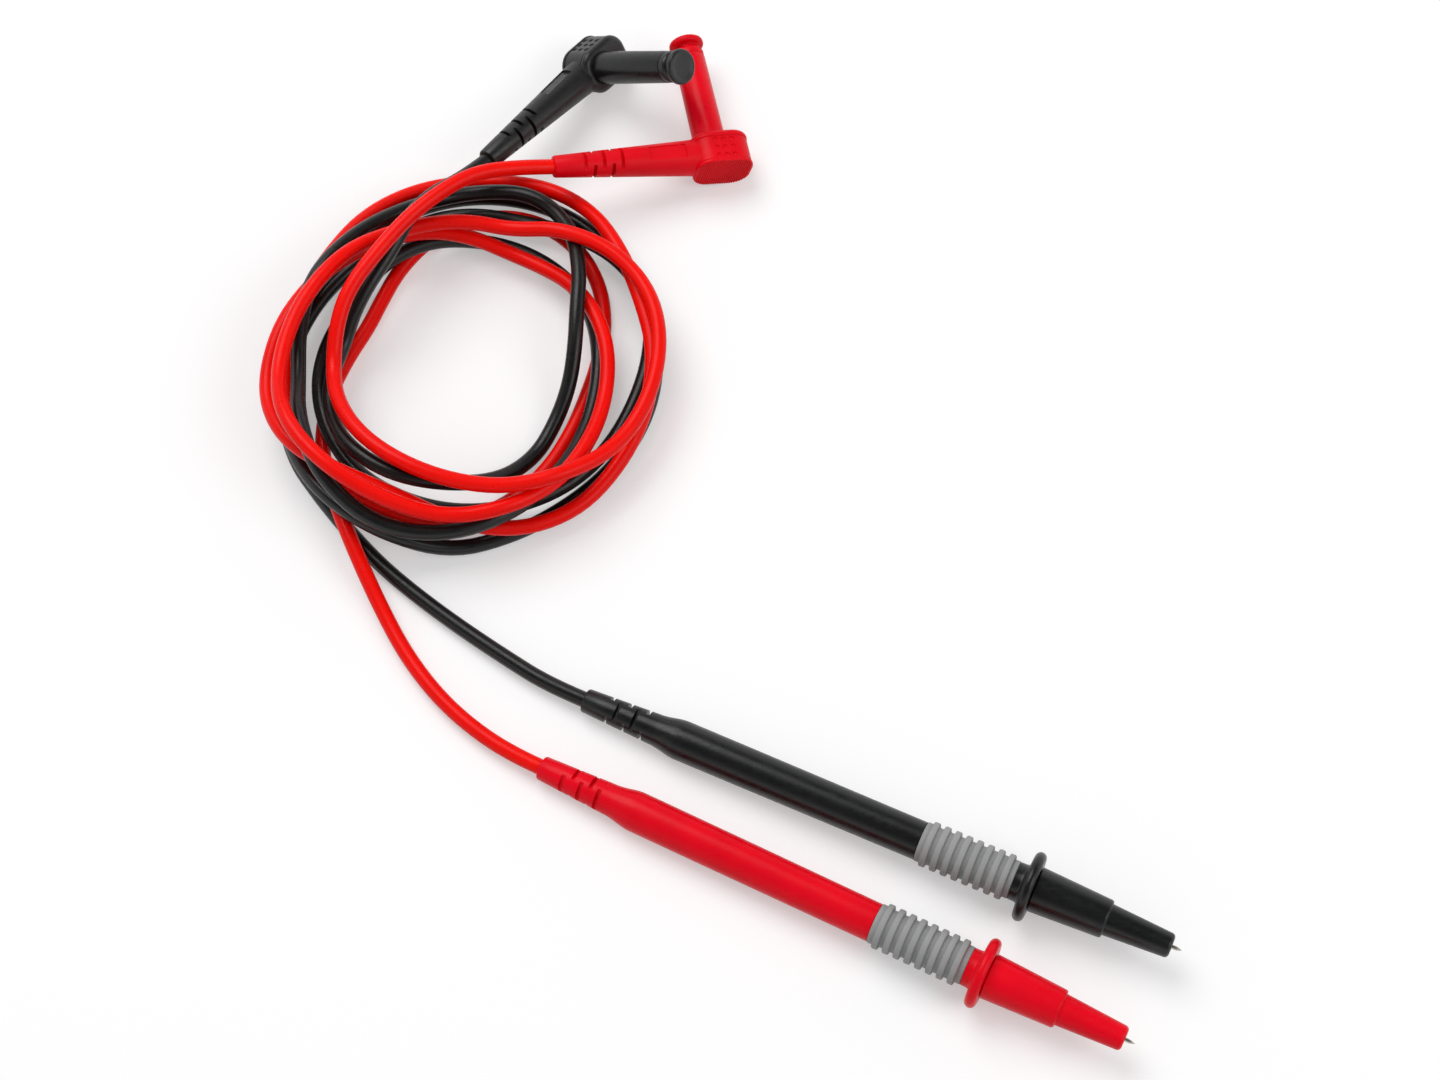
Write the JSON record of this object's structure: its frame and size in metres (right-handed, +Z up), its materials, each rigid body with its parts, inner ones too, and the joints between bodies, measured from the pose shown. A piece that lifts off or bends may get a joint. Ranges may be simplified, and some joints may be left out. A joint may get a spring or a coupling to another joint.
{
  "type": "multimeter test leads",
  "caption": "Red and black test leads with ribbed hand probes, finger guards, pull-off tip covers, coiled cables and shrouded right-angle banana plugs with transport caps.",
  "frame": {"origin": "on the floor, under the middle of the box round the two hand probes", "axes": "+X towards the probe tips, as the picture's right, +Y away from the camera, +Z up"},
  "size_m": [0.221, 0.2732, 0.0336],
  "materials": {
    "red_shell": "satin moulded",
    "black_shell": "satin moulded",
    "red_soft": "soft matt vinyl",
    "black_soft": "soft matt vinyl",
    "red_cable": "smooth silicone",
    "black_cable": "smooth silicone",
    "grip_rubber": "matt soft-touch",
    "needle_steel": "ground",
    "ferrule_brass": "plain",
    "pin_nickel": "nickel plated"
  },
  "bodies": {
    "root": {"red_probe_needle": "needle_steel", "red_front_body": "red_shell", "red_grip_sleeve": "grip_rubber", "red_handle": "red_shell", "red_needle_ferrule": "ferrule_brass", "red_handle_cable_end": "red_cable", "red_cable_front": "red_cable", "red_cable_coil": "red_cable", "red_cable_rear": "red_cable", "red_plug_cable_end": "red_cable", "red_plug_body": "red_soft", "red_plug_shroud": "red_shell", "red_plug_pin": "pin_nickel", "red_pin_spring": "pin_nickel", "black_probe_needle": "needle_steel", "black_front_body": "black_shell", "black_grip_sleeve": "grip_rubber", "black_handle": "black_shell", "black_needle_ferrule": "ferrule_brass", "black_handle_cable_end": "black_cable", "black_cable_front": "black_cable", "black_cable_coil": "black_cable", "black_cable_rear": "black_cable", "black_plug_cable_end": "black_cable", "black_plug_body": "black_soft", "black_plug_shroud": "black_shell", "black_plug_pin": "pin_nickel", "black_pin_spring": "pin_nickel"},
    "red_plug_cap": {"red_plug_cap": "red_soft"},
    "red_tip_cover": {"red_tip_cover": "red_shell"},
    "black_plug_cap": {"black_plug_cap": "black_soft"},
    "black_tip_cover": {"black_tip_cover": "black_shell"}
  },
  "joints": [
    {"name": "red_cap_slide", "type": "slide", "parent": "root", "child": "red_plug_cap", "axis": [-0.2103, 0.9757, 0.062], "range_m": [0, 0.03]},
    {"name": "red_cover_slide", "type": "slide", "parent": "root", "child": "red_tip_cover", "axis": [0.8946, -0.445, 0.0408], "range_m": [0, 0.04]},
    {"name": "black_cap_slide", "type": "slide", "parent": "root", "child": "black_plug_cap", "axis": [0.6967, -0.4005, 0.5951], "range_m": [0, 0.03]},
    {"name": "black_cover_slide", "type": "slide", "parent": "root", "child": "black_tip_cover", "axis": [0.9082, -0.4166, 0.0408], "range_m": [0, 0.04]}
  ]
}
